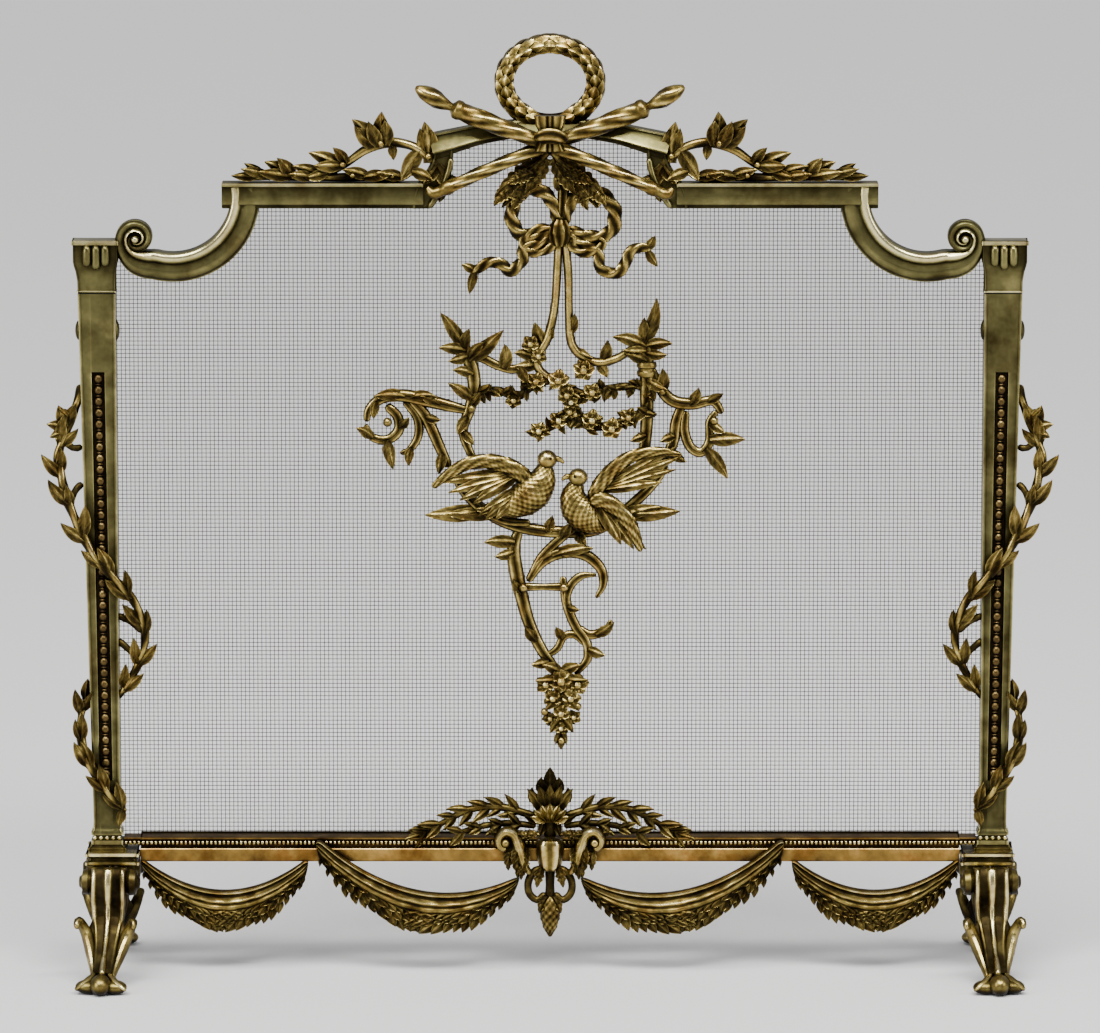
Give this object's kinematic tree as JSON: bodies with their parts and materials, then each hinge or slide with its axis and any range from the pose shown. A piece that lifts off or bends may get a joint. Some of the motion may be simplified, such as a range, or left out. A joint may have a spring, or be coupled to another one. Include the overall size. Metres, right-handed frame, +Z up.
{
  "type": "fireplace screen",
  "caption": "Free-standing ornamental metal fireplace screen: wire mesh panel in a scrolled frame with posts, wreath crest, hanging trophy, swags and splayed feet.",
  "frame": {"origin": "floor level, midway between the four toes, on the centre plane of the screen", "axes": "+X towards the viewer's right along the screen, +Y to the back, +Z up; the ornamented front faces -Y"},
  "size_m": [0.7122, 0.1836, 0.6779],
  "materials": {
    "frame_brass": "aged cast brass with green-grey patina, satin",
    "foot_brass": "aged cast brass, worn bright on raised reeds, satin",
    "dark_brass": "dark brown patinated brass, satin",
    "ornament_brass": "gilt cast brass, bright on high points and brown in the recesses, satin",
    "wire_mesh": "woven dark brass wire",
    "strip_brass": "plain rolled brass strip, satin",
    "screws": "turned brass, satin"
  },
  "bodies": {
    "root": {"acanthus_left": "ornament_brass", "acanthus_right": "ornament_brass", "bottom_rail": "frame_brass", "bow": "ornament_brass", "capital_left": "frame_brass", "capital_right": "frame_brass", "cradle_scroll": "ornament_brass", "crest_arch": "frame_brass", "dove_left": "ornament_brass", "dove_right": "ornament_brass", "feather_spray_left": "ornament_brass", "feather_spray_right": "ornament_brass", "flower_drop": "ornament_brass", "foot_screws": "screws", "front_foot_left": "foot_brass", "front_foot_right": "foot_brass", "laurel_branch_left": "ornament_brass", "laurel_branch_right": "ornament_brass", "lower_garland": "ornament_brass", "mesh_panel": "wire_mesh", "mesh_screws": "screws", "mesh_strip_bottom": "strip_brass", "mesh_strips_side": "strip_brass", "mesh_strips_top": "strip_brass", "palmette_shell": "ornament_brass", "pendant_drop": "ornament_brass", "plinth_left": "frame_brass", "plinth_right": "frame_brass", "post_bead_strip_left": "dark_brass", "post_bead_strip_right": "dark_brass", "post_left": "frame_brass", "post_right": "frame_brass", "rail_beading": "ornament_brass", "rail_spray_left": "ornament_brass", "rail_spray_right": "ornament_brass", "rear_foot_left": "foot_brass", "rear_foot_right": "foot_brass", "ribbon_knot": "ornament_brass", "ribbon_tail_left": "ornament_brass", "ribbon_tail_right": "ornament_brass", "scroll_rail_left": "frame_brass", "scroll_rail_right": "frame_brass", "shoulder_rail_left": "frame_brass", "shoulder_rail_right": "frame_brass", "swag_inner_left": "ornament_brass", "swag_inner_right": "ornament_brass", "swag_outer_left": "ornament_brass", "swag_outer_right": "ornament_brass", "tail_scroll": "ornament_brass", "torch_left": "ornament_brass", "torch_right": "ornament_brass", "trophy_scroll_left": "ornament_brass", "trophy_scroll_right": "ornament_brass", "trophy_straps": "ornament_brass", "upper_garland": "ornament_brass", "vine_lower_left": "ornament_brass", "vine_lower_right": "ornament_brass", "vine_upper_left": "ornament_brass", "vine_upper_right": "ornament_brass", "wreath": "ornament_brass"}
  },
  "joints": []
}
